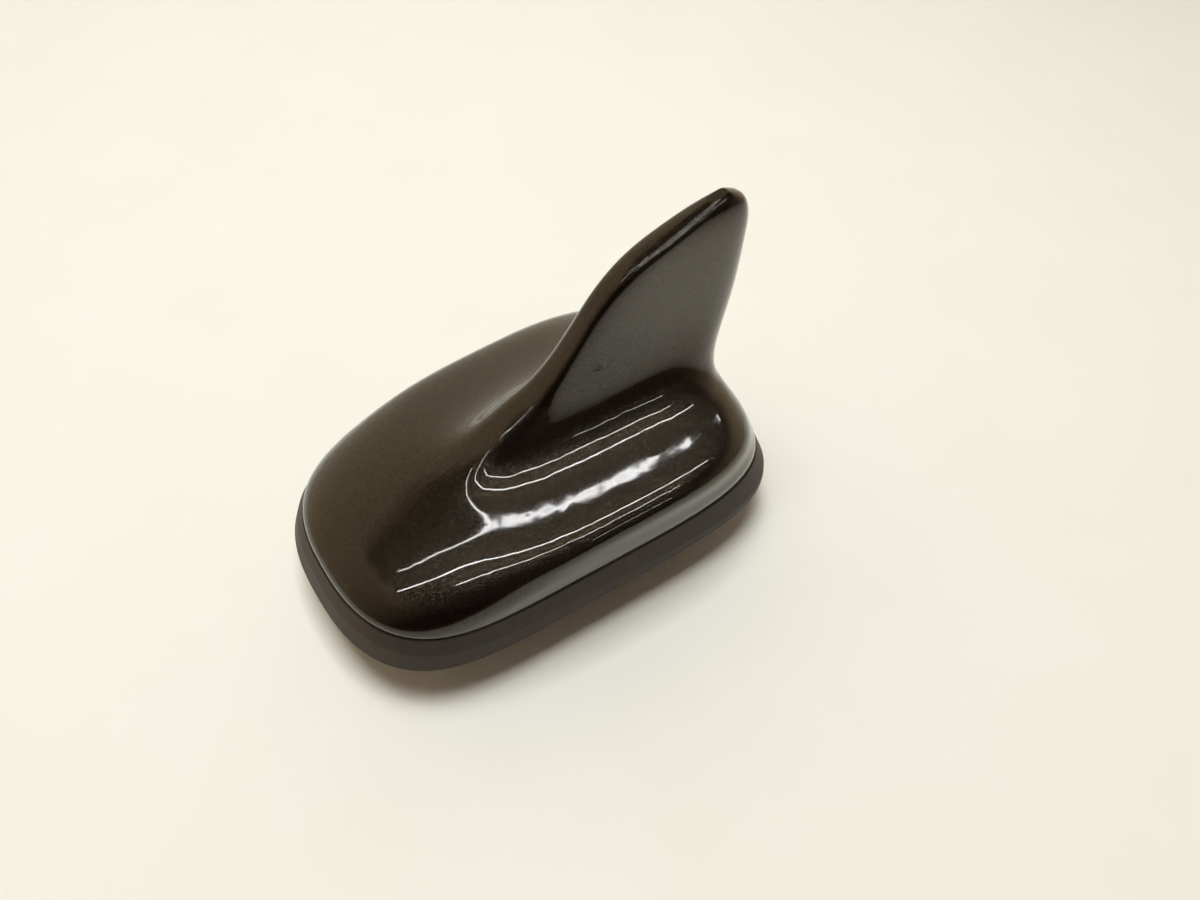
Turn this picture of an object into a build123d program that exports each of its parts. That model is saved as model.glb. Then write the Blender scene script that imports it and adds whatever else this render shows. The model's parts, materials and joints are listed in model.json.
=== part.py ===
from build123d import *
from collections import namedtuple
import math
import os

# Shark fin roof aerial. X runs from the front to the rear, Y across, Z up.
# The origin is on the stud axis in the plane of the car roof. Sizes are in millimetres.

# Outer form
length = 122.0
width = 74.2
height = 74.5
skirt_height = 8.2
rim_step = 3.0
rim_round = 0.6
skirt_crease_height = 3.2
skirt_crease_fall = 1.8
skirt_crease_swell = 0.35
skirt_proud = 0.4
groove_inset = 3.0
groove_width = 1.4
groove_depth = 0.7

# Cover shell and its screw bosses
wall = 2.0
hollow_share = 0.8
boss_radius = 3.6
boss_front_station = 0.74
boss_rear_station = 0.70
boss_rear_spread = 0.54
cover_screw_radius = 1.5
cover_screw_head_radius = 2.8
cover_screw_head_height = 1.6
cover_screw_grip = 9.0

# Base casting and the stud
base_bottom = 1.6
base_thickness = 3.2
rim_margin = 0.9
base_gap = 0.3
lip_width = 5.0
pedestal_margin = 2.0
pedestal_width = 18.0
pedestal_corner = 4.0
pedestal_drop = 2.2
stud_radius = 4.0
stud_length = 13.0
stud_chamfer = 0.8
stud_relief_depth = 0.7
stud_relief_height = 1.2
stud_collar_radius = 6.5
stud_collar_height = 1.5
stud_spigot_radius = 3.4
stud_head_radius = 5.5
stud_head_height = 1.2
stud_gap = 0.3
gasket_width = 5.5
gasket_gap = 0.6

# Boards
board_thickness = 1.6
board_end_gap = 3.8
board_side_gap = 12.1
board_corner = 3.0
post_height = 3.4
post_radius = 3.2
post_inset = 4.5
board_screw_radius = 1.25
board_screw_head_radius = 2.4
board_screw_head_height = 1.5
board_screw_grip = 4.5
thread_allowance = 0.3
pilot_floor = 1.6
hex_share = 0.5
hex_depth = 0.8

# Satellite patch and the parts on the main board
patch_side = 25.0
patch_height = 4.0
patch_plate_side = 20.0
patch_plate_thickness = 0.3
patch_margin = 4.5
patch_pin_radius = 0.6
patch_pin_head = 1.3
patch_pin_head_height = 0.5
pin_gap = 0.3
can_length = 24.0
can_width = 13.0
can_height = 3.6
can_wall = 0.3
can_corner = 1.0
can_x = 16.0
can_edge = 2.5
chip_side = 5.0
chip_height = 1.1
chip_pitch = 8.0
chip_first_x = 6.0
chip_y = 12.0

# Fin board
fin_board_foot_front = 4.0
fin_board_foot_margin = 3.0
fin_board_foot_height = 6.0
fin_board_lead_margin = 7.0
fin_board_trail_margin = 5.0
fin_board_section_count = 4
fin_foam_length = 18.0
fin_foam_width = 2.6
fin_foam_height = 2.4
clip_x = 28.0
clip_length = 6.0
clip_height = 5.0
clip_leg = 3.5
clip_thickness = 0.5

# Coaxial sockets under the base
socket_first_x = 13.5
socket_pitch = 11.0
socket_side = 9.2
socket_corner = 1.6
socket_bore_radius = 3.7
socket_length = 9.6
socket_floor = 2.0
socket_key_width = 1.6
socket_key_depth = 1.1
sleeve_radius = 2.4
sleeve_wall = 0.35
sleeve_length = 6.4
core_radius = 1.7
core_height = 2.2
core_gap = 0.2
contact_radius = 0.45
contact_gap = 0.05
contact_length = 5.6
contact_below_top = 0.2

# Vent in the base
vent_x = -26.0
vent_radius = 4.0
vent_thickness = 1.2
vent_gap = 0.3
vent_hole_radius = 1.2

# Form of the cover as sections from the rim to the crest of the fin.
# Each row gives the front and rear end of one section as shares of the half length and of the rise
# above the rim, then its half width as a share of the rim's, where along it the widest place lies,
# the fullness of its front and rear ends, the fullness of its front and rear flanks, and how much
# narrower it gets from its rear end to its front.
Section = namedtuple(
    "Section", "front lift_front rear lift_rear breadth station nose tail flank haunch taper"
)
cover_sections = [
    Section(-0.942, 0.000, 0.937, 0.000, 1.000, 0.50, 5.2, 3.9, 2.5, 3.8, 0.12),
    Section(-0.936, 0.036, 0.931, 0.036, 1.000, 0.50, 5.0, 3.9, 2.5, 3.8, 0.12),
    Section(-0.892, 0.072, 0.921, 0.063, 0.999, 0.50, 4.6, 3.7, 2.5, 3.7, 0.10),
    Section(-0.803, 0.115, 0.903, 0.098, 0.997, 0.50, 4.2, 3.4, 2.5, 3.6, 0.10),
    Section(-0.695, 0.152, 0.882, 0.139, 0.993, 0.50, 3.8, 2.9, 2.5, 3.3, 0.12),
    Section(-0.590, 0.184, 0.862, 0.181, 0.944, 0.51, 3.3, 2.3, 2.5, 2.6, 0.17),
    Section(-0.487, 0.211, 0.856, 0.214, 0.789, 0.52, 2.8, 1.9, 2.7, 2.1, 0.29),
    Section(-0.380, 0.244, 0.862, 0.246, 0.537, 0.53, 2.6, 2.1, 3.2, 1.9, 0.42),
    Section(-0.270, 0.294, 0.872, 0.290, 0.340, 0.53, 2.8, 2.7, 4.0, 2.0, 0.48),
    Section(-0.159, 0.356, 0.889, 0.353, 0.240, 0.52, 3.8, 3.9, 4.5, 2.0, 0.42),
    Section(-0.031, 0.425, 0.910, 0.440, 0.182, 0.51, 5.2, 5.4, 4.5, 2.0, 0.32),
    Section(0.084, 0.529, 0.928, 0.548, 0.150, 0.50, 6.4, 6.8, 4.5, 2.0, 0.22),
    Section(0.185, 0.662, 0.934, 0.676, 0.132, 0.50, 7.2, 7.5, 4.2, 2.0, 0.15),
    Section(0.285, 0.783, 0.931, 0.804, 0.120, 0.50, 7.5, 7.5, 4.0, 2.0, 0.12),
    Section(0.392, 0.860, 0.923, 0.884, 0.113, 0.50, 7.0, 7.0, 3.6, 2.0, 0.10),
    Section(0.495, 0.902, 0.903, 0.938, 0.103, 0.50, 6.0, 6.0, 3.0, 2.0, 0.05),
    Section(0.587, 0.935, 0.874, 0.968, 0.087, 0.50, 5.0, 5.0, 2.5, 2.0, 0.00),
    Section(0.659, 0.961, 0.839, 0.986, 0.065, 0.50, 4.5, 4.5, 2.2, 2.0, 0.00),
    Section(0.720, 0.980, 0.803, 1.000, 0.035, 0.50, 4.0, 4.0, 2.0, 2.0, 0.00),
]
inner_section_count = 16
inner_flank = 2.5
ring_points = 56
fine_steps = 90

# Values that follow from the ones above
half_length = length / 2
rim_half_width = width / 2 - rim_step
rim_z = skirt_height
rise = height - skirt_height
base_top = base_bottom + base_thickness
board_bottom = base_top + post_height
board_top = board_bottom + board_thickness
base_inset = wall + rim_margin
boss_rear_x = half_length * boss_rear_station
boss_rear_y = rim_half_width * boss_rear_spread
boss_front_x = -half_length * boss_front_station
boss_places = [(boss_front_x, 0), (boss_rear_x, boss_rear_y), (boss_rear_x, -boss_rear_y)]
board_length = 2 * (boss_rear_x - boss_radius - board_end_gap)
board_width = 2 * (rim_half_width - board_side_gap)
patch_x = patch_margin + patch_side / 2 - board_length / 2
can_y = can_edge + can_width / 2 - board_width / 2
fin_board_foot_rear = board_length / 2 - fin_board_foot_margin
post_x = board_length / 2 - post_inset
post_y = board_width / 2 - post_inset
socket_places = [(socket_first_x, 0), (socket_first_x + socket_pitch, 0)]
pedestal_bottom = -pedestal_drop
collar_bottom = pedestal_bottom - stud_collar_height
pedestal_front = -stud_collar_radius - pedestal_margin
pedestal_rear = socket_places[-1][0] + socket_side / 2 + pedestal_margin
pedestal_length = pedestal_rear - pedestal_front
pedestal_centre = ((pedestal_front + pedestal_rear) / 2, 0)
socket_bottom = pedestal_bottom - socket_length
socket_seat = pedestal_bottom - socket_floor
screw_seat = base_bottom + cover_screw_head_height + hex_depth / 2
patch_top = board_top + patch_height
plate_top = patch_top + patch_plate_thickness


def power(value, exponent):
    return math.copysign(abs(value) ** exponent, value)


def half_section(section):
    """Points of one side of a section, from its front end to its rear end."""
    front = section.front * half_length
    rear = section.rear * half_length
    middle = front + (rear - front) * section.station
    z_front = rim_z + section.lift_front * rise
    z_rear = rim_z + section.lift_rear * rise
    points = []
    for step in range(2 * fine_steps + 1):
        angle = math.pi * step / (2 * fine_steps)
        c = math.cos(angle)
        s = math.sin(angle)
        ahead = c >= 0
        reach = middle - front if ahead else rear - middle
        end = section.nose if ahead else section.tail
        side = section.flank if ahead else section.haunch
        x = middle - power(c, 2 / end) * reach
        spread = 1 + section.taper * (x - middle) / (rear - front)
        y = s ** (2 / side) * section.breadth * rim_half_width * spread
        z = z_front + (z_rear - z_front) * (x - front) / (rear - front)
        points.append((x, y, z))
    return points


def even_points(points, count):
    """Points spaced by a mean of the distance run and the angle turned, so tight ends stay round."""
    run = [0.0]
    turn = [0.0]
    heading = math.pi / 2
    for a, b in zip(points, points[1:]):
        run.append(run[-1] + math.dist(a, b))
        new_heading = math.atan2(b[1] - a[1], b[0] - a[0])
        turn.append(turn[-1] + max(heading - new_heading, 0))
        heading = new_heading
    turn_end = turn[-1] + math.pi / 2 + heading
    share = [(r / run[-1] + t / turn_end) / 2 for r, t in zip(run, turn)]
    share[-1] = 1.0
    chosen = []
    place = 0
    for index in range(count + 1):
        target = index / count
        while place < len(share) - 2 and share[place + 1] < target:
            place += 1
        gap = share[place + 1] - share[place]
        part = min(max((target - share[place]) / gap, 0), 1) if gap else 0
        chosen.append(tuple(u + (v - u) * part for u, v in zip(points[place], points[place + 1])))
    return chosen


def ring(section):
    """A closed section as evenly spread points, the front end first and the -Y side next."""
    side = even_points(half_section(section), ring_points // 2)
    near = [(x, -y, z) for x, y, z in side]
    far = [(x, y, z) for x, y, z in side[-2:0:-1]]
    return near + far


def inward(rings, index, place, depth):
    """The point of a ring moved into the material at right angles to the skin."""
    below = rings[max(index - 1, 0)]
    above = rings[min(index + 1, len(rings) - 1)]
    own = rings[index]
    along = Vector(*own[(place + 1) % ring_points]) - Vector(*own[place - 1])
    up = Vector(*above[place]) - Vector(*below[place])
    normal = along.cross(up)
    if index == 0:
        normal = Vector(normal.X, normal.Y, 0)
    return Vector(*own[place]) - normal.normalized() * depth


def nose_radius(section):
    """The radius that the front end of a section would have with plain round flanks."""
    reach = (section.rear - section.front) * half_length * section.station
    half_width = section.breadth * rim_half_width * (1 - section.taper * section.station)
    return half_width**2 * section.nose / (2 * reach)


def loop(points):
    """A closed smooth wire through a ring of points."""
    places = [index / ring_points for index in range(ring_points + 1)]
    return Wire([Edge.make_spline(points, periodic=True, parameters=places)])


def skin(rings, ruled=False):
    """A solid through closed rings, smooth from ring to ring unless it is ruled."""
    return Solid.make_loft([loop(points) for points in rings], ruled)


def outline(step, z):
    """The rim outline grown (or with a negative step shrunk) by one step, at a height."""
    rim = cover_sections[0]
    grown = rim._replace(
        front=rim.front - step / half_length,
        rear=rim.rear + step / half_length,
        breadth=rim.breadth + step / rim_half_width,
    )
    return [(x, y, z) for x, y, _ in ring(grown)]


def skirt_ring(inset, z):
    """The outline of the skirt, as wide and long as the whole part at its foot, at an inset from there."""
    share = 1 - inset / rim_step
    rim = cover_sections[0]
    flared = rim._replace(
        front=rim.front + (-1 - rim.front) * share,
        rear=rim.rear + (1 - rim.rear) * share,
        breadth=1 + rim_step / rim_half_width * share,
    )
    return [(x, y, z) for x, y, _ in ring(flared)]


def crease_ring():
    """The fold around the skirt: a tilted ring, a little proud of a straight line from foot to rim."""
    points = []
    for low, high in zip(skirt_ring(0, 0), skirt_ring(rim_step - skirt_proud, rim_z)):
        level = skirt_crease_height - skirt_crease_fall * low[0] / half_length
        lean = level / rim_z - skirt_crease_swell / rim_step
        x = low[0] + (high[0] - low[0]) * lean
        y = low[1] + (high[1] - low[1]) * lean
        points.append((x, y, skirt_crease_height - skirt_crease_fall * x / half_length))
    return points


def slab(step, bottom, top):
    """A plate with the rim outline, grown by one step."""
    return extrude(Face(loop(outline(step, bottom))), top - bottom, dir=(0, 0, 1)).solid()


def block(size_x, size_y, bottom, top, corner, centre=(0, 0)):
    """An upright block with rounded corners."""
    with BuildPart() as made:
        with BuildSketch(Plane.XY.offset(bottom)):
            with Locations(centre):
                RectangleRounded(size_x, size_y, corner)
        extrude(amount=top - bottom)
    return made.part.solid()


def post(radius, bottom, top, place=(0, 0)):
    """An upright round post."""
    return Pos(place[0], place[1], (bottom + top) / 2) * Cylinder(radius, top - bottom)


def tube(radius, bore, bottom, top, place=(0, 0)):
    """An upright round tube."""
    return post(radius, bottom, top, place) - post(bore, bottom, top, place)


def corners(x, y):
    return [(x, y), (-x, y), (-x, -y), (x, -y)]


def screw(radius, head_radius, head_height, seat, tip):
    """A pan-head screw with a hexagon recess. The head lies beyond the seat, the tip at the other end."""
    way = 1 if seat > tip else -1
    head_end = seat + way * head_height
    shank = post(radius, min(seat, tip), max(seat, tip))
    head = post(head_radius, min(seat, head_end), max(seat, head_end))
    head = fillet(head.edges().sort_by(Axis.Z)[-1 if way > 0 else 0], head_height * 0.4)
    hexagon = extrude(RegularPolygon(head_radius * hex_share, 6), hex_depth)
    low = head_end - hex_depth if way > 0 else head_end
    return shank + head - Pos(0, 0, low) * hexagon


def group(shapes):
    return Compound(children=[Solid(shape.solid().wrapped) for shape in shapes])


# Cover: one moulding with the fin, hollow up into the fin, with three screw bosses inside
outer_rings = [ring(section) for section in cover_sections]
edge_ring = outline(-rim_round, rim_z)
low_ring = [(x, y, rim_z + rim_round) for x, y, _ in outer_rings[0]]
outer_rings[0] = low_ring
rounder = [section._replace(flank=min(section.flank, inner_flank)) for section in cover_sections]
inner_guides = [low_ring] + [ring(section) for section in rounder[1:]]
inner_rings = []
for index in range(inner_section_count):
    depth = min(wall, hollow_share * nose_radius(cover_sections[index]))
    inner_rings.append([tuple(inward(inner_guides, index, place, depth)) for place in range(ring_points)])
inner_rings[0] = outline(-wall, rim_z)
roof_front = inner_rings[-1][0]
roof_rear = inner_rings[-1][ring_points // 2]
roof_slope = (roof_rear[2] - roof_front[2]) / (roof_rear[0] - roof_front[0])
inner_rings[-1] = [(x, y, roof_front[2] + roof_slope * (x - roof_front[0])) for x, y, _ in inner_rings[-1]]
outside = skin(outer_rings)
rim = skin([edge_ring, low_ring], ruled=True)
inside = skin(inner_rings)
cover = outside + rim - inside
foot = slab(-base_inset, base_top, rim_z + wall)
for place in boss_places:
    cover = cover + (post(boss_radius, base_top, height, place) & (outside + foot))
    cover = cover - post(cover_screw_radius + thread_allowance, base_top, base_top + cover_screw_grip, place)

# Skirt seal: a soft flared ring under the rim, with a pocket and a lip that hold the base
crease = crease_ring()
skirt = skin([skirt_ring(0, 0), crease], ruled=True)
skirt = skirt + skin([crease, skirt_ring(rim_step - skirt_proud, rim_z)], ruled=True)
skirt = skirt - slab(base_gap - base_inset, base_bottom, rim_z)
skirt = skirt - slab(-base_inset - lip_width, 0, base_bottom)
skirt = skirt - (slab(-groove_inset, 0, groove_depth) - slab(-groove_inset - groove_width, 0, groove_depth))

# Base: one casting with the board posts and the pedestal that fills the roof opening
base = slab(-base_inset, base_bottom, base_top)
pedestal = block(
    pedestal_length, pedestal_width, pedestal_bottom, base_bottom, pedestal_corner, pedestal_centre
)
base = base + pedestal - post(stud_spigot_radius + stud_gap, pedestal_bottom, base_top)
for place in corners(post_x, post_y):
    base = base + post(post_radius, base_top, board_bottom, place)
    base = base - post(board_screw_radius + thread_allowance, base_bottom + pilot_floor, board_bottom, place)
for place in boss_places:
    base = base - post(cover_screw_radius + thread_allowance, base_bottom, base_top, place)
    base = base - post(cover_screw_head_radius + thread_allowance, base_bottom, screw_seat, place)
for place in socket_places:
    base = base - post(core_radius + pin_gap, pedestal_bottom, base_top, place)
base = base - post(vent_radius + vent_gap, base_bottom, base_bottom + vent_thickness, (vent_x, 0))
base = base - post(vent_hole_radius, base_bottom, base_top, (vent_x, 0))
vent = post(vent_radius, base_bottom, base_bottom + vent_thickness, (vent_x, 0))

# Stud: a steel bolt with a collar under the pedestal, its spigot riveted over on top of the base
stud = post(stud_radius, -stud_length, collar_bottom)
stud = chamfer(stud.edges().sort_by(Axis.Z)[0], stud_chamfer)
relief_bore = stud_radius - stud_relief_depth
stud = stud - tube(stud_radius, relief_bore, collar_bottom - stud_relief_height, collar_bottom)
stud = stud + post(stud_collar_radius, collar_bottom, pedestal_bottom)
stud = stud + post(stud_spigot_radius, pedestal_bottom, base_top)
stud_head = post(stud_head_radius, base_top, base_top + stud_head_height)
stud = stud + fillet(stud_head.edges().sort_by(Axis.Z)[-1], stud_head_height / 2)

# Gasket that seals the roof opening around the pedestal
gasket_inner = 2 * gasket_gap
gasket_outer = gasket_inner + 2 * gasket_width
gasket = block(
    pedestal_length + gasket_outer,
    pedestal_width + gasket_outer,
    0,
    base_bottom,
    pedestal_corner + gasket_outer / 2,
    pedestal_centre,
)
gasket = gasket - block(
    pedestal_length + gasket_inner,
    pedestal_width + gasket_inner,
    0,
    base_bottom,
    pedestal_corner + gasket_inner / 2,
    pedestal_centre,
)

# Main board with the satellite patch, a shield can and three chips
board = block(board_length, board_width, board_bottom, board_top, board_corner)
for place in corners(post_x, post_y):
    board = board - post(board_screw_radius + thread_allowance, board_bottom, board_top, place)
for place in socket_places:
    board = board - post(contact_radius + pin_gap, board_bottom, board_top, place)
board = board - post(patch_pin_radius + pin_gap, board_bottom, board_top, (patch_x, 0))
patch_hole = post(patch_pin_radius + pin_gap, board_top, plate_top, (patch_x, 0))
patch = block(patch_side, patch_side, board_top, patch_top, can_corner, (patch_x, 0)) - patch_hole
plate = block(patch_plate_side, patch_plate_side, patch_top, plate_top, can_corner, (patch_x, 0)) - patch_hole
patch_pin = post(patch_pin_radius, board_bottom, plate_top, (patch_x, 0))
patch_pin = patch_pin + post(patch_pin_head, plate_top, plate_top + patch_pin_head_height, (patch_x, 0))
can = block(can_length, can_width, board_top, board_top + can_height, can_corner, (can_x, can_y))
can = can - block(
    can_length - 2 * can_wall,
    can_width - 2 * can_wall,
    board_top,
    board_top + can_height - can_wall,
    can_corner - can_wall,
    (can_x, can_y),
)
chips = []
for index in range(3):
    chip = Pos(chip_first_x + index * chip_pitch, chip_y, board_top + chip_height / 2)
    chips.append(chip * Box(chip_side, chip_side, chip_height))

# Fin board: it stands on the main board and follows the inside of the fin
lead_edge = []
trail_edge = []
board_section_end = inner_section_count - 2
for section in cover_sections[board_section_end - fin_board_section_count : board_section_end]:
    level = rim_z + (section.lift_front + section.lift_rear) / 2 * rise
    lead_edge.append((section.front * half_length + fin_board_lead_margin, level))
    trail_edge.append((section.rear * half_length - fin_board_trail_margin, level))
fin_top = lead_edge[-1][1]
fin_outline = [
    (fin_board_foot_front, board_top),
    (fin_board_foot_rear, board_top),
    (fin_board_foot_rear, board_top + fin_board_foot_height),
    *trail_edge,
    *reversed(lead_edge[1:]),
]
fin_face = Plane.XZ * Polygon(*fin_outline, align=None)
fin_board = extrude(fin_face, board_thickness / 2, both=True)
foam_x = (lead_edge[-1][0] + trail_edge[-1][0]) / 2
fin_foam = Box(fin_foam_length, fin_foam_width, fin_foam_height)
fin_foam = Pos(foam_x, 0, fin_top + fin_foam_height / 2) * fin_foam
clip_side = board_thickness / 2
clip_foot = Box(clip_length, clip_leg, clip_thickness)
clip_wall = Box(clip_length, clip_thickness, clip_height)
clip = Pos(clip_x, clip_side + clip_leg / 2, board_top + clip_thickness / 2) * clip_foot
clip = clip + Pos(clip_x, clip_side + clip_thickness / 2, board_top + clip_height / 2) * clip_wall

# Screws
board_screw = screw(
    board_screw_radius,
    board_screw_head_radius,
    board_screw_head_height,
    board_top,
    board_bottom - board_screw_grip,
)
board_screws = [Pos(x, y, 0) * board_screw for x, y in corners(post_x, post_y)]
cover_screw = screw(
    cover_screw_radius,
    cover_screw_head_radius,
    cover_screw_head_height,
    screw_seat,
    base_top + cover_screw_grip - pilot_floor,
)
cover_screws = [Pos(x, y, 0) * cover_screw for x, y in boss_places]


def socket_housing(place, key_angle):
    """A keyed plastic housing that hangs from the pedestal, open downwards."""
    housing = block(socket_side, socket_side, socket_bottom, pedestal_bottom, socket_corner, place)
    housing = housing - post(socket_bore_radius, socket_bottom, socket_seat, place)
    housing = housing - post(core_radius + core_gap, socket_seat, pedestal_bottom, place)
    key = Pos(socket_bore_radius, 0, (socket_bottom + socket_seat) / 2)
    key = key * Box(2 * socket_key_depth, socket_key_width, socket_seat - socket_bottom)
    return housing - Pos(place[0], place[1], 0) * Rot(0, 0, key_angle) * key


sleeves = []
cores = []
contacts = []
sleeve_bore = sleeve_radius - sleeve_wall
core_bottom = socket_seat - core_height
for place in socket_places:
    sleeves.append(tube(sleeve_radius, sleeve_bore, socket_seat - sleeve_length, socket_seat, place))
    cores.append(tube(core_radius, contact_radius + contact_gap, core_bottom, board_bottom, place))
    contacts.append(post(contact_radius, socket_seat - contact_length, board_top - contact_below_top, place))

parts = {
    "cover": cover,
    "skirt_seal": skirt,
    "base_plate": base,
    "stud": stud,
    "vent_plug": vent,
    "roof_gasket": gasket,
    "main_board": board,
    "patch_ceramic": patch,
    "patch_plate": plate,
    "patch_pin": patch_pin,
    "shield_can": can,
    "amplifier_chips": group(chips),
    "fin_board": fin_board,
    "fin_foam": fin_foam,
    "fin_clip": clip,
    "board_screws": group(board_screws),
    "cover_screws": group(cover_screws),
    "satellite_socket": socket_housing(socket_places[0], 90),
    "phone_socket": socket_housing(socket_places[1], -90),
    "socket_sleeves": group(sleeves),
    "socket_cores": group(cores),
    "socket_contacts": group(contacts),
}

os.makedirs("parts", exist_ok=True)
for name, shape in parts.items():
    export_step(shape, f"parts/{name}.step")
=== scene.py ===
import json
import math

import bmesh
import bpy
from mathutils import Matrix, Vector


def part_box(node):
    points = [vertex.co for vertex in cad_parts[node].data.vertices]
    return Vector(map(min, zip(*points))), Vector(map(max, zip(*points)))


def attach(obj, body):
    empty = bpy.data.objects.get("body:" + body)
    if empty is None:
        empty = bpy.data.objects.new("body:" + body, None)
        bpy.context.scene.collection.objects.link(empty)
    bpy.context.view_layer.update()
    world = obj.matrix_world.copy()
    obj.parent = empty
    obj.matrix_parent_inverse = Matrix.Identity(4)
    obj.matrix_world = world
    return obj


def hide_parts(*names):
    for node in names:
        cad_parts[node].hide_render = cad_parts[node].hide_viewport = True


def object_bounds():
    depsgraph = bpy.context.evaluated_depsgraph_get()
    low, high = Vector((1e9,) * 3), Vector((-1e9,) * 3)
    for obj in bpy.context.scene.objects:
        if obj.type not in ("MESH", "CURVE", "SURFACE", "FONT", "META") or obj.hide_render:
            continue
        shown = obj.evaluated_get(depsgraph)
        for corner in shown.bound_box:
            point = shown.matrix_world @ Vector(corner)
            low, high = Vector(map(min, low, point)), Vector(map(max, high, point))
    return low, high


MM = 0.001

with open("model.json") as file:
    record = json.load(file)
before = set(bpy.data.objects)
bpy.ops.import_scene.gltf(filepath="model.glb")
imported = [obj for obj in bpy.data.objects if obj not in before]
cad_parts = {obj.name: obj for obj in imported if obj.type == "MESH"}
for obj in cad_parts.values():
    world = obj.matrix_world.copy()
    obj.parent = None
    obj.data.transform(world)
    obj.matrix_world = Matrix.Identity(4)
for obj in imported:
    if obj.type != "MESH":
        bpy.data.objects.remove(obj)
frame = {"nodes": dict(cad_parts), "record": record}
cad_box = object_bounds()
nodes = frame["nodes"]


def linear(code):
    """The linear colour of an sRGB hex code."""
    channels = [int(code[i : i + 2], 16) / 255 for i in (1, 3, 5)]
    return [c / 12.92 if c <= 0.04045 else ((c + 0.055) / 1.055) ** 2.4 for c in channels] + [1.0]


def add(tree, kind, inputs=None, stops=None, **settings):
    """A new node of one kind with its settings, its colour stops, and its inputs set or linked."""
    made = tree.nodes.new(kind)
    for name, value in settings.items():
        setattr(made, name, value)
    for name, value in (inputs or {}).items():
        if isinstance(value, bpy.types.NodeSocket):
            tree.links.new(value, made.inputs[name])
        else:
            made.inputs[name].default_value = value
    for count, (place, code) in enumerate(stops or []):
        element = made.color_ramp.elements[count] if count < 2 else made.color_ramp.elements.new(place)
        element.position = place
        element.color = linear(code)
    return made


def material(name, **values):
    """A material with its shader, the shader's plain values set, and object coordinates."""
    made = bpy.data.materials.new(name)
    made.use_nodes = True
    tree = made.node_tree
    shader = tree.nodes["Principled BSDF"]
    for socket, value in values.items():
        shader.inputs[socket.replace("_", " ")].default_value = value
    place = add(tree, "ShaderNodeTexCoord").outputs["Object"]
    return made, tree, shader, place


def dress(tree, shader, colour, roughness, normal):
    """Links the colour, the roughness and the fine relief of a material to its shader."""
    tree.links.new(colour, shader.inputs["Base Color"])
    tree.links.new(roughness, shader.inputs["Roughness"])
    tree.links.new(normal, shader.inputs["Normal"])


def pitch(millimetres):
    """The texture scale whose cells are this many millimetres across."""
    return 1 / (millimetres * MM)


# Black pearl lacquer: a black basecoat with sparse gold mica flake under clear coat, polished. The clear coat
# gives the reflections, a little soft so that the facets of the mesh show less. The flakes give a fine
# sparkle beside the highlights, and are drawn 0.16 mm wide, coarser than real mica, so that they show.
lacquer, tree, shader, place = material(
    "black_pearl_lacquer", Metallic=1.0, Coat_Weight=1.0, Coat_Roughness=0.04, Coat_IOR=1.46
)
flakes = add(tree, "ShaderNodeTexVoronoi", {"Vector": place, "Scale": pitch(0.16)})
lean = add(
    tree,
    "ShaderNodeVectorMath",
    {0: flakes.outputs["Color"], 1: (0.5, 0.5, 0.5)},
    operation="SUBTRACT",
)
skin = add(tree, "ShaderNodeNewGeometry").outputs["Normal"]
leant = add(
    tree,
    "ShaderNodeVectorMath",
    {0: lean.outputs[0], 1: (0.2, 0.2, 0.2), 2: skin},
    operation="MULTIPLY_ADD",
)
facing = add(tree, "ShaderNodeVectorMath", {0: leant.outputs[0]}, operation="NORMALIZE")
glint = add(tree, "ShaderNodeSeparateColor", {"Color": flakes.outputs["Color"]})
body = add(
    tree,
    "ShaderNodeValToRGB",
    {"Fac": glint.outputs["Blue"]},
    [(0.0, "#1f1a15"), (0.70, "#28231c"), (1.0, "#504a3d")],
)
cloud = add(tree, "ShaderNodeTexNoise", {"Vector": place, "Scale": pitch(14), "Detail": 3.0})
depth = add(tree, "ShaderNodeMapRange", {"Value": cloud.outputs["Fac"], "To Min": 0.22, "To Max": 0.29})
peel = add(tree, "ShaderNodeTexNoise", {"Vector": place, "Scale": pitch(2.2), "Detail": 2.0})
surface = add(
    tree,
    "ShaderNodeBump",
    {"Height": peel.outputs["Fac"], "Strength": 0.03, "Distance": 0.05 * MM},
)
dress(tree, shader, body.outputs["Color"], depth.outputs["Result"], facing.outputs[0])
tree.links.new(surface.outputs["Normal"], shader.inputs["Coat Normal"])

# EPDM rubber, moulded: a matte warm black with a fine grain, a greyish bloom in patches and a little dust.
rubber, tree, shader, place = material("moulded_epdm", Specular_IOR_Level=0.42)
bloom = add(
    tree,
    "ShaderNodeTexNoise",
    {"Vector": place, "Scale": pitch(9), "Detail": 5.0, "Roughness": 0.62},
)
shade = add(
    tree,
    "ShaderNodeValToRGB",
    {"Fac": bloom.outputs["Fac"]},
    [(0.30, "#291e16"), (0.55, "#33261c"), (0.75, "#413225")],
)
specks = add(tree, "ShaderNodeTexVoronoi", {"Vector": place, "Scale": pitch(7)})
dust = add(
    tree,
    "ShaderNodeMapRange",
    {"Value": specks.outputs["Distance"], "From Min": 0.03, "From Max": 0.02},
)
dusted = add(
    tree,
    "ShaderNodeMix",
    {0: dust.outputs["Result"], 6: shade.outputs["Color"], 7: linear("#8d8473")},
    data_type="RGBA",
)
grain = add(tree, "ShaderNodeTexNoise", {"Vector": place, "Scale": pitch(0.5), "Detail": 4.0})
polish = add(tree, "ShaderNodeMapRange", {"Value": bloom.outputs["Fac"], "To Min": 0.42, "To Max": 0.66})
surface = add(
    tree,
    "ShaderNodeBump",
    {"Height": grain.outputs["Fac"], "Strength": 0.25, "Distance": 0.08 * MM},
)
dress(tree, shader, dusted.outputs[2], polish.outputs["Result"], surface.outputs["Normal"])

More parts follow.
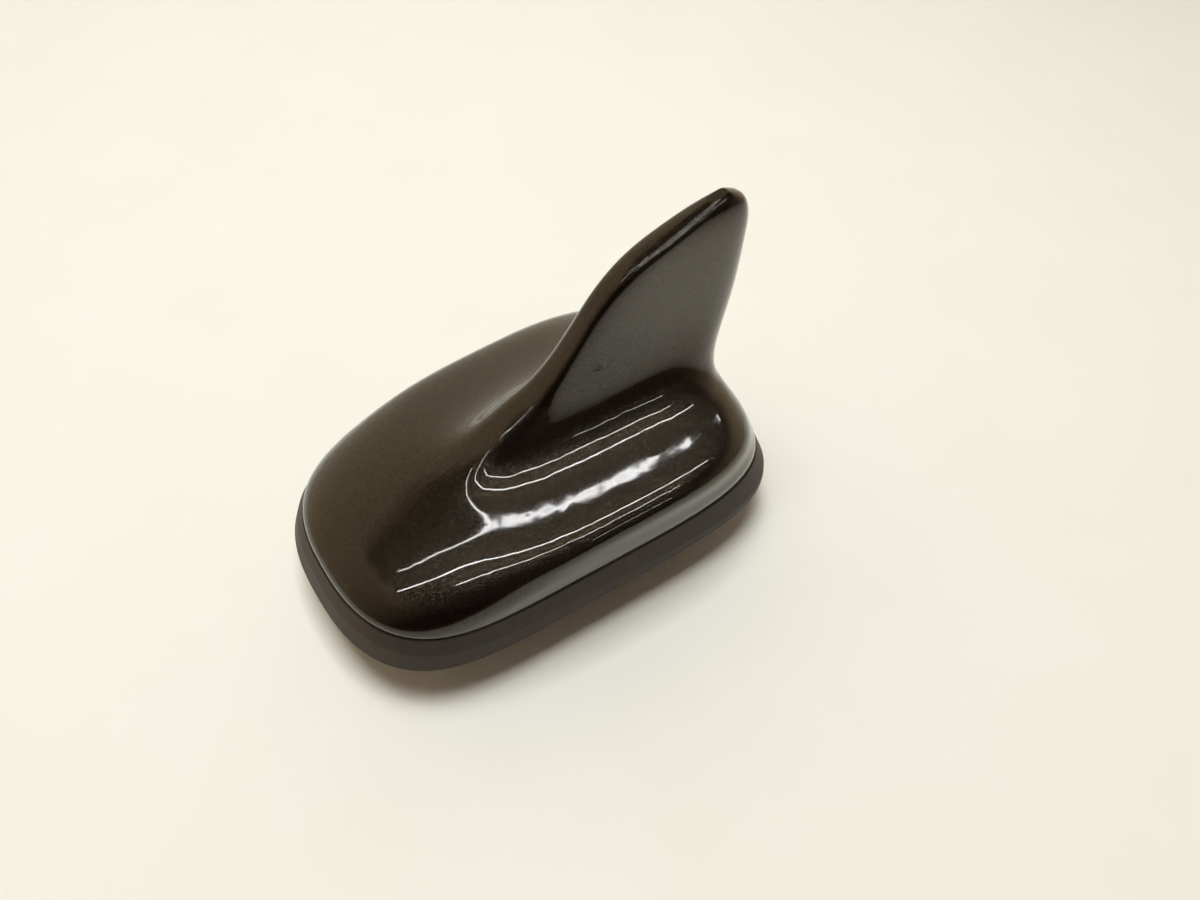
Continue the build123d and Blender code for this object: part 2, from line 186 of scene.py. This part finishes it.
# Die-cast aluminium, as cast: pale grey, satin, with cloudy flow marks and a fine pebbled skin.
casting, tree, shader, place = material("die_cast_aluminium", Metallic=1.0)
flow = add(
    tree,
    "ShaderNodeTexNoise",
    {"Vector": place, "Scale": pitch(11), "Detail": 6.0, "Distortion": 1.2},
)
shade = add(
    tree,
    "ShaderNodeValToRGB",
    {"Fac": flow.outputs["Fac"]},
    [(0.28, "#a3a29c"), (0.55, "#b9b8b2"), (0.78, "#c9c8c3")],
)
pebble = add(tree, "ShaderNodeTexNoise", {"Vector": place, "Scale": pitch(0.7), "Detail": 3.0})
polish = add(tree, "ShaderNodeMapRange", {"Value": flow.outputs["Fac"], "To Min": 0.34, "To Max": 0.56})
surface = add(
    tree,
    "ShaderNodeBump",
    {"Height": pebble.outputs["Fac"], "Strength": 0.22, "Distance": 0.08 * MM},
)
dress(tree, shader, shade.outputs["Color"], polish.outputs["Result"], surface.outputs["Normal"])

# Expanded PTFE membrane: white and soft, with a fibrous, finely pitted face.
membrane, tree, shader, place = material("ptfe_membrane", Specular_IOR_Level=0.3)
fibre = add(
    tree,
    "ShaderNodeTexNoise",
    {"Vector": place, "Scale": pitch(0.6), "Detail": 8.0, "Distortion": 2.0},
)
shade = add(tree, "ShaderNodeValToRGB", {"Fac": fibre.outputs["Fac"]}, [(0.30, "#c9c7bf"), (0.62, "#e6e4dc")])
surface = add(tree, "ShaderNodeBump", {"Height": fibre.outputs["Fac"], "Strength": 0.4, "Distance": 0.1 * MM})
polish = add(tree, "ShaderNodeMapRange", {"Value": fibre.outputs["Fac"], "To Min": 0.65, "To Max": 0.85})
dress(tree, shader, shade.outputs["Color"], polish.outputs["Result"], surface.outputs["Normal"])

# Closed-cell EPDM foam, cut from sheet: dull black with small open cells along its cut face, their hollows
# darkened as painted shade.
foam, tree, shader, place = material("closed_cell_foam", Specular_IOR_Level=0.3)
cells = add(tree, "ShaderNodeTexVoronoi", {"Vector": place, "Scale": pitch(0.8)})
# The ramp darkens each cell towards its sunken centre: painted shade in the hollows.
shade = add(
    tree,
    "ShaderNodeValToRGB",
    {"Fac": cells.outputs["Distance"]},
    [(0.0, "#141414"), (0.5, "#262524"), (0.8, "#302f2d")],
)
surface = add(
    tree,
    "ShaderNodeBump",
    {"Height": cells.outputs["Distance"], "Strength": 0.6, "Distance": 0.2 * MM},
)
polish = add(tree, "ShaderNodeMapRange", {"Value": cells.outputs["Distance"], "To Min": 0.7, "To Max": 0.92})
dress(tree, shader, shade.outputs["Color"], polish.outputs["Result"], surface.outputs["Normal"])

# Open-cell foam, a soft pad: charcoal grey with coarse pores, darkened towards their sunken centres as
# painted shade.
pad, tree, shader, place = material("open_cell_foam", Specular_IOR_Level=0.25)
pores = add(tree, "ShaderNodeTexVoronoi", {"Vector": place, "Scale": pitch(0.6)})
# The ramp darkens each pore towards its sunken centre: painted shade in the pores.
shade = add(
    tree,
    "ShaderNodeValToRGB",
    {"Fac": pores.outputs["Distance"]},
    [(0.1, "#1d1d20"), (0.6, "#4a4a50")],
)
surface = add(
    tree,
    "ShaderNodeBump",
    {"Height": pores.outputs["Distance"], "Strength": 0.8, "Distance": 0.25 * MM},
)
polish = add(tree, "ShaderNodeMapRange", {"Value": pores.outputs["Distance"], "To Min": 0.8, "To Max": 0.95})
dress(tree, shader, shade.outputs["Color"], polish.outputs["Result"], surface.outputs["Normal"])

# Glass-epoxy laminate with green solder mask: glossy green, the glass weave showing faintly through it.
laminate, tree, shader, place = material("solder_mask_laminate", IOR=1.55)
weave = add(
    tree,
    "ShaderNodeTexBrick",
    {
        "Vector": place,
        "Scale": pitch(1.2),
        "Mortar Size": 0.06,
        "Color1": linear("#1f5a37"),
        "Color2": linear("#235f3b"),
        "Mortar": linear("#1a4d2f"),
    },
)
surface = add(
    tree,
    "ShaderNodeBump",
    {"Height": weave.outputs["Fac"], "Strength": 0.1, "Distance": 0.03 * MM},
)
haze = add(tree, "ShaderNodeTexNoise", {"Vector": place, "Scale": pitch(6), "Detail": 3.0})
polish = add(tree, "ShaderNodeMapRange", {"Value": haze.outputs["Fac"], "To Min": 0.22, "To Max": 0.4})
dress(tree, shader, weave.outputs["Color"], polish.outputs["Result"], surface.outputs["Normal"])

# Fired dielectric ceramic, unglazed: warm buff with a chalky, faintly speckled face.
ceramic, tree, shader, place = material("fired_ceramic", IOR=1.6)
speck = add(
    tree,
    "ShaderNodeTexNoise",
    {"Vector": place, "Scale": pitch(0.8), "Detail": 7.0, "Roughness": 0.7},
)
shade = add(
    tree,
    "ShaderNodeValToRGB",
    {"Fac": speck.outputs["Fac"]},
    [(0.25, "#b3a284"), (0.55, "#c9b896"), (0.8, "#d8caac")],
)
surface = add(
    tree,
    "ShaderNodeBump",
    {"Height": speck.outputs["Fac"], "Strength": 0.2, "Distance": 0.05 * MM},
)
polish = add(tree, "ShaderNodeMapRange", {"Value": speck.outputs["Fac"], "To Min": 0.5, "To Max": 0.75})
dress(tree, shader, shade.outputs["Color"], polish.outputs["Result"], surface.outputs["Normal"])

# Fired silver: soft satin white metal with faint yellow tarnish in patches.
silver, tree, shader, place = material("fired_silver", Metallic=1.0)
tarnish = add(tree, "ShaderNodeTexNoise", {"Vector": place, "Scale": pitch(5), "Detail": 5.0})
shade = add(
    tree,
    "ShaderNodeValToRGB",
    {"Fac": tarnish.outputs["Fac"]},
    [(0.35, "#e4e1d8"), (0.7, "#cfc4a8")],
)
polish = add(tree, "ShaderNodeMapRange", {"Value": tarnish.outputs["Fac"], "To Min": 0.25, "To Max": 0.5})
print_grain = add(tree, "ShaderNodeTexNoise", {"Vector": place, "Scale": pitch(0.4), "Detail": 2.0})
surface = add(
    tree,
    "ShaderNodeBump",
    {"Height": print_grain.outputs["Fac"], "Strength": 0.15, "Distance": 0.03 * MM},
)
dress(tree, shader, shade.outputs["Color"], polish.outputs["Result"], surface.outputs["Normal"])

# Tin-plated steel sheet: bright grey with fine rolling lines along X and dull clouds.
tinplate, tree, shader, place = material("tin_plate", Metallic=1.0)
rolled = add(tree, "ShaderNodeMapping", {"Vector": place, "Scale": (0.04, 1.0, 1.0)})
lines = add(tree, "ShaderNodeTexNoise", {"Vector": rolled.outputs[0], "Scale": pitch(0.35), "Detail": 3.0})
clouds = add(tree, "ShaderNodeTexNoise", {"Vector": place, "Scale": pitch(4), "Detail": 4.0})
shade = add(tree, "ShaderNodeValToRGB", {"Fac": clouds.outputs["Fac"]}, [(0.3, "#bdbdb9"), (0.7, "#d4d4d0")])
polish = add(tree, "ShaderNodeMapRange", {"Value": clouds.outputs["Fac"], "To Min": 0.2, "To Max": 0.42})
surface = add(
    tree,
    "ShaderNodeBump",
    {"Height": lines.outputs["Fac"], "Strength": 0.15, "Distance": 0.02 * MM},
)
dress(tree, shader, shade.outputs["Color"], polish.outputs["Result"], surface.outputs["Normal"])

# Moulded epoxy, the body of the chips: dull black with the fine pitting of a spark-eroded mould.
resin, tree, shader, place = material("moulded_epoxy")
pitting = add(tree, "ShaderNodeTexNoise", {"Vector": place, "Scale": pitch(0.25), "Detail": 4.0})
shade = add(tree, "ShaderNodeValToRGB", {"Fac": pitting.outputs["Fac"]}, [(0.3, "#1a1a1c"), (0.7, "#28282b")])
polish = add(tree, "ShaderNodeMapRange", {"Value": pitting.outputs["Fac"], "To Min": 0.45, "To Max": 0.65})
surface = add(
    tree,
    "ShaderNodeBump",
    {"Height": pitting.outputs["Fac"], "Strength": 0.3, "Distance": 0.04 * MM},
)
dress(tree, shader, shade.outputs["Color"], polish.outputs["Result"], surface.outputs["Normal"])

# Zinc-plated steel: cool bright grey with a faint yellow and blue passivation bloom and turning marks.
zinc, tree, shader, place = material("zinc_plated_steel", Metallic=1.0)
passivation = add(tree, "ShaderNodeTexNoise", {"Vector": place, "Scale": pitch(2.5), "Detail": 4.0})
shade = add(
    tree,
    "ShaderNodeValToRGB",
    {"Fac": passivation.outputs["Fac"]},
    [(0.3, "#b6bbc0"), (0.5, "#c6c7c6"), (0.7, "#cdc7b4")],
)
turned = add(tree, "ShaderNodeMapping", {"Vector": place, "Scale": (0.15, 0.15, 1.0)})
marks = add(tree, "ShaderNodeTexNoise", {"Vector": turned.outputs[0], "Scale": pitch(0.2), "Detail": 2.0})
polish = add(
    tree,
    "ShaderNodeMapRange",
    {"Value": passivation.outputs["Fac"], "To Min": 0.22, "To Max": 0.45},
)
surface = add(
    tree,
    "ShaderNodeBump",
    {"Height": marks.outputs["Fac"], "Strength": 0.15, "Distance": 0.02 * MM},
)
dress(tree, shader, shade.outputs["Color"], polish.outputs["Result"], surface.outputs["Normal"])

# Gold-flashed brass, turned: warm yellow metal, a little darker where the flash is thin.
brass, tree, shader, place = material("gold_flashed_brass", Metallic=1.0)
thin = add(tree, "ShaderNodeTexNoise", {"Vector": place, "Scale": pitch(1.5), "Detail": 4.0})
shade = add(tree, "ShaderNodeValToRGB", {"Fac": thin.outputs["Fac"]}, [(0.3, "#c9a04c"), (0.7, "#e0c27a")])
polish = add(tree, "ShaderNodeMapRange", {"Value": thin.outputs["Fac"], "To Min": 0.16, "To Max": 0.34})
turned = add(tree, "ShaderNodeTexNoise", {"Vector": place, "Scale": pitch(0.15), "Detail": 2.0})
surface = add(
    tree,
    "ShaderNodeBump",
    {"Height": turned.outputs["Fac"], "Strength": 0.08, "Distance": 0.02 * MM},
)
dress(tree, shader, shade.outputs["Color"], polish.outputs["Result"], surface.outputs["Normal"])

# PTFE, turned: waxy white, faintly cloudy, with a soft sheen.
ptfe, tree, shader, place = material("turned_ptfe", IOR=1.36)
wax = add(tree, "ShaderNodeTexNoise", {"Vector": place, "Scale": pitch(1.2), "Detail": 3.0})
shade = add(tree, "ShaderNodeValToRGB", {"Fac": wax.outputs["Fac"]}, [(0.3, "#dcdad2"), (0.7, "#eeece6")])
polish = add(tree, "ShaderNodeMapRange", {"Value": wax.outputs["Fac"], "To Min": 0.32, "To Max": 0.5})
surface = add(tree, "ShaderNodeBump", {"Height": wax.outputs["Fac"], "Strength": 0.1, "Distance": 0.03 * MM})
dress(tree, shader, shade.outputs["Color"], polish.outputs["Result"], surface.outputs["Normal"])

# Glass-filled nylon, moulded, in the two code colours of the sockets: satin, with faint fibre streaks.
code_plastics = {}
for code_name, dark, light in (("blue", "#1c4280", "#2a559b"), ("violet", "#6a1f45", "#83305a")):
    plastic, tree, shader, place = material("glass_filled_nylon_" + code_name, IOR=1.53)
    streak = add(tree, "ShaderNodeMapping", {"Vector": place, "Scale": (1.0, 1.0, 0.25)})
    fibres = add(
        tree,
        "ShaderNodeTexNoise",
        {"Vector": streak.outputs[0], "Scale": pitch(0.9), "Detail": 5.0},
    )
    shade = add(tree, "ShaderNodeValToRGB", {"Fac": fibres.outputs["Fac"]}, [(0.3, dark), (0.7, light)])
    polish = add(tree, "ShaderNodeMapRange", {"Value": fibres.outputs["Fac"], "To Min": 0.34, "To Max": 0.52})
    surface = add(
        tree,
        "ShaderNodeBump",
        {"Height": fibres.outputs["Fac"], "Strength": 0.15, "Distance": 0.05 * MM},
    )
    dress(tree, shader, shade.outputs["Color"], polish.outputs["Result"], surface.outputs["Normal"])
    code_plastics[code_name] = plastic

finishes = {
    "pearl_paint": lacquer,
    "skirt_rubber": rubber,
    "cast_base": casting,
    "vent_membrane": membrane,
    "gasket_foam": foam,
    "board_laminate": laminate,
    "patch_ceramic": ceramic,
    "silver_plate": silver,
    "tinned_steel": tinplate,
    "chip_resin": resin,
    "fin_foam": pad,
    "screw_steel": zinc,
    "blue_plastic": code_plastics["blue"],
    "violet_plastic": code_plastics["violet"],
    "plated_brass": brass,
    "white_plastic": ptfe,
}
for subpart in frame["record"]["subparts"]:
    node = nodes[subpart["node"]]
    node.data.materials.clear()
    node.data.materials.append(finishes[subpart["material_slot"]])


def piece(name, mesh, slot, *replaced):
    """A finished bmesh as an object that rides on the body and stands for some nodes."""
    data = bpy.data.meshes.new(name)
    mesh.to_mesh(data)
    mesh.free()
    made = bpy.data.objects.new(name, data)
    bpy.context.scene.collection.objects.link(made)
    data.materials.append(finishes[slot])
    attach(made, "root")
    if replaced:
        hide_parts(*replaced)
    return made


# Stud, whole: the riveted head, spigot, collar and relief neck are turned, and the shank has its thread cut,
# 8 mm across and 1.25 mm pitch, as its mount says
stud_mount = next(mount for mount in frame["record"]["mounts"] if mount["name"] == "stud")
stud_low, stud_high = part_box("stud")
base_low, base_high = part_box("base_plate")
thread_radius = stud_mount["dims"]["r_mm"] * MM
thread_top = stud_mount["pos_m"][2] + stud_mount["dims"]["length_mm"] * MM / 2
thread_end = stud_low.z
thread_pitch = 1.25 * MM
thread_depth = 0.613 * thread_pitch
thread_steps = 48
weld = 0.01 * MM
chamfer = 0.8 * MM
neck_radius = thread_radius - 0.7 * MM
neck_fillet = 0.3 * MM
spigot_radius = thread_radius - 0.6 * MM
overlap = 0.4 * MM
collar_radius = stud_high.x
collar_top = base_low.z
collar_bottom = collar_top - 1.5 * MM
small_edge = 0.2 * MM
head_radius = collar_radius - 1.0 * MM
head_bottom = stud_high.z - 1.2 * MM
head_round = 0.6 * MM
head_bulge = 0.18 * MM
turned_steps = 64
stud_mesh = bmesh.new()
flank_points = ((1, 0.0), (0, 0.4375), (0, 0.5625), (1, 1.0))
corners = [
    stud_mesh.verts.new((thread_radius - deep * thread_depth, 0, thread_end + (rise - 1.5) * thread_pitch))
    for deep, rise in flank_points
]
line = [stud_mesh.edges.new(pair) for pair in zip(corners, corners[1:])]
turns = math.ceil((thread_top - thread_end) / thread_pitch) + 2
bmesh.ops.spin(
    stud_mesh,
    geom=corners + line,
    cent=(0, 0, 0),
    axis=(0, 0, 1),
    dvec=(0, 0, thread_pitch / thread_steps),
    angle=math.tau * turns,
    steps=thread_steps * turns,
)
bmesh.ops.remove_doubles(stud_mesh, verts=stud_mesh.verts, dist=weld)
for level, outer in ((thread_top, True), (thread_end, False)):
    bmesh.ops.bisect_plane(
        stud_mesh,
        geom=stud_mesh.verts[:] + stud_mesh.edges[:] + stud_mesh.faces[:],
        plane_co=(0, 0, level),
        plane_no=(0, 0, 1),
        clear_outer=outer,
        clear_inner=not outer,
    )
bmesh.ops.holes_fill(stud_mesh, edges=[edge for edge in stud_mesh.edges if edge.is_boundary], sides=0)
for vert in stud_mesh.verts:
    reach = math.hypot(vert.co.x, vert.co.y)
    limit = thread_radius - chamfer + vert.co.z - thread_end
    if reach > limit:
        vert.co.x *= limit / reach
        vert.co.y *= limit / reach
profile = [
    (0, thread_top - overlap),
    (neck_radius - small_edge, thread_top - overlap),
    (neck_radius, thread_top),
    (neck_radius, collar_bottom - neck_fillet),
    (neck_radius + neck_fillet, collar_bottom),
    (collar_radius - small_edge, collar_bottom),
    (collar_radius, collar_bottom + small_edge),
    (collar_radius, collar_top),
    (spigot_radius, collar_top),
    (spigot_radius, head_bottom),
    (head_radius, head_bottom),
    (head_radius, stud_high.z - head_round),
    (head_radius - head_bulge, stud_high.z - head_bulge),
    (head_radius - head_round, stud_high.z),
    (0, stud_high.z),
]
corners = [stud_mesh.verts.new((radius, 0, level)) for radius, level in profile]
line = [stud_mesh.edges.new(pair) for pair in zip(corners, corners[1:])]
bmesh.ops.spin(
    stud_mesh,
    geom=corners + line,
    cent=(0, 0, 0),
    axis=(0, 0, 1),
    angle=math.tau,
    steps=turned_steps,
    use_merge=True,
)
bmesh.ops.remove_doubles(stud_mesh, verts=stud_mesh.verts, dist=weld)
bmesh.ops.recalc_face_normals(stud_mesh, faces=stud_mesh.faces)
piece("stud_threaded", stud_mesh, "screw_steel", "stud")

# Camera at the place the photo was taken from
azimuth = math.radians(-40.396)
elevation = math.radians(52.62)
roll = math.radians(6.376)
distance = 236.37 * MM
target = Vector((16.92, -4.956, 8.0)) * MM
level_reach = math.cos(elevation)
back = Vector((math.sin(azimuth) * level_reach, -math.cos(azimuth) * level_reach, math.sin(elevation)))
level_right = (-back).cross(Vector((0, 0, 1))).normalized()
level_up = level_right.cross(-back)
right = math.cos(roll) * level_right + math.sin(roll) * level_up
up = -math.sin(roll) * level_right + math.cos(roll) * level_up
camera = bpy.data.objects.new("camera", bpy.data.cameras.new("camera"))
turned_to_target = Matrix((right, up, back)).transposed().to_4x4()
camera.matrix_world = Matrix.Translation(target + back * distance) @ turned_to_target
camera.data.lens = 27.19
camera.data.sensor_width = 36.0
camera.data.clip_start = 0.01
bpy.context.scene.collection.objects.link(camera)
bpy.context.scene.camera = camera

# Floor: a plain cream sheet under the end of the stud
floor_mesh = bmesh.new()
bmesh.ops.create_grid(floor_mesh, x_segments=1, y_segments=1, size=3.0)
bmesh.ops.translate(floor_mesh, verts=floor_mesh.verts, vec=(0, 0, cad_box[0].z))
floor_data = bpy.data.meshes.new("floor")
floor_mesh.to_mesh(floor_data)
floor_mesh.free()
floor = bpy.data.objects.new("floor", floor_data)
bpy.context.scene.collection.objects.link(floor)
sheet, tree, shader, place = material("cream_board", Roughness=0.8, Specular_IOR_Level=0.1)
mottle = add(tree, "ShaderNodeTexNoise", {"Vector": place, "Scale": pitch(40), "Detail": 3.0})
shade = add(tree, "ShaderNodeValToRGB", {"Fac": mottle.outputs["Fac"]}, [(0.3, "#f8faf1"), (0.7, "#fafcf5")])
tree.links.new(shade.outputs["Color"], shader.inputs["Base Color"])
floor_data.materials.append(sheet)


def strip_lamp(name, start, end, breadth, radiance):
    """A long soft lamp between two points, facing the object."""
    start = Vector(start)
    end = Vector(end)
    along = (end - start).normalized()
    out = (start + end) / 2
    across = out.normalized().cross(along).normalized()
    facing = along.cross(across)
    data = bpy.data.lights.new(name, "AREA")
    data.shape = "RECTANGLE"
    data.size = (end - start).length
    data.size_y = breadth
    data.energy = radiance * math.pi * data.size * data.size_y
    lamp = bpy.data.objects.new(name, data)
    lamp.matrix_world = Matrix.Translation(out) @ Matrix((along, across, facing)).transposed().to_4x4()
    bpy.context.scene.collection.objects.link(lamp)
    return lamp


# Ceiling tubes in rows: one, bent in plan, runs over the object, and three straight ones are on the camera's
# side. They are there for the gloss, and the key lamp lights the floor. The bent row follows the line at
# which the shoulder reflects it as a broad band.
row = [
    (-0.620, 0.340),
    (-0.305, 0.206),
    (-0.055, 0.155),
    (0.071, 0.1055),
    (0.387, 0.0180),
    (0.498, -0.0055),
    (0.694, -0.0620),
    (1.413, -0.0910),
]
ceiling = 1.0
row_breadth = 0.008
row_radiance = 30
tube_breadth = 0.010
tube_radiance = 44
tubes = [
    strip_lamp("tubes_over_%d" % count, (*start, ceiling), (*end, ceiling), row_breadth, row_radiance)
    for count, (start, end) in enumerate(zip(row, row[1:]))
]
for name, start, end in (
    ("tubes_near", (-0.80, 0.163), (0.95, -0.380)),
    ("tubes_middle", (-0.45, -0.180), (0.65, -0.521)),
    ("tubes_far", (0.35, -1.10), (0.80, -1.24)),
):
    tubes.append(strip_lamp(name, (*start, ceiling), (*end, ceiling), tube_breadth, tube_radiance))
for tube in tubes:
    tube.visible_diffuse = False

# Soft key lamp above and behind, for the floor and the shadow, kept out of the gloss
key = strip_lamp("key", (-0.25, 0.16, ceiling), (0.25, 0.16, ceiling), breadth=0.50, radiance=10.1)
key.visible_glossy = False

# Room: warm pale walls behind the object, dim walls on the camera's side, and a dim, straight-edged ceiling
world = bpy.data.worlds.new("room")
bpy.context.scene.world = world
world.use_nodes = True
tree = world.node_tree
way = add(tree, "ShaderNodeTexCoord").outputs["Generated"]
turn = add(tree, "ShaderNodeVectorMath", {0: way, 1: (0.34, 0.94, 0.0)}, operation="DOT_PRODUCT")
span = add(tree, "ShaderNodeMapRange", {"Value": turn.outputs["Value"], "From Min": -1.0, "From Max": 1.0})
wall = add(
    tree,
    "ShaderNodeValToRGB",
    {"Fac": span.outputs["Result"]},
    [
        (0.0, "#3c2e2c"),
        (0.18, "#4a3937"),
        (0.34, "#94826c"),
        (0.5, "#c4ad8f"),
        (0.75, "#f5dcb2"),
        (1.0, "#fff0d2"),
    ],
)
parts = add(tree, "ShaderNodeSeparateXYZ", {"Vector": way})
rise = add(tree, "ShaderNodeMath", {0: parts.outputs["Z"], 1: 0.05}, operation="MAXIMUM")
across = add(tree, "ShaderNodeMath", {0: parts.outputs["X"], 1: rise.outputs[0]}, operation="DIVIDE")
along = add(tree, "ShaderNodeMath", {0: parts.outputs["Y"], 1: rise.outputs[0]}, operation="DIVIDE")
left_edge = add(
    tree,
    "ShaderNodeMapRange",
    {"Value": across.outputs[0], "From Min": -0.84, "From Max": -0.72},
)
back_edge = add(tree, "ShaderNodeMapRange", {"Value": along.outputs[0], "From Min": 0.74, "From Max": 0.62})
right_edge = add(tree, "ShaderNodeMapRange", {"Value": across.outputs[0], "From Min": 2.5, "From Max": 1.6})
sides = add(
    tree,
    "ShaderNodeMath",
    {0: left_edge.outputs["Result"], 1: right_edge.outputs["Result"]},
    operation="MULTIPLY",
)
above = add(
    tree,
    "ShaderNodeMath",
    {0: sides.outputs[0], 1: back_edge.outputs["Result"]},
    operation="MULTIPLY",
)
room = add(
    tree,
    "ShaderNodeMix",
    {0: above.outputs[0], 6: wall.outputs["Color"], 7: linear("#5c4f48")},
    data_type="RGBA",
)
tree.links.new(room.outputs[2], tree.nodes["Background"].inputs["Color"])
tree.nodes["Background"].inputs["Strength"].default_value = 1.0

bpy.context.scene.view_settings.view_transform = "Standard"
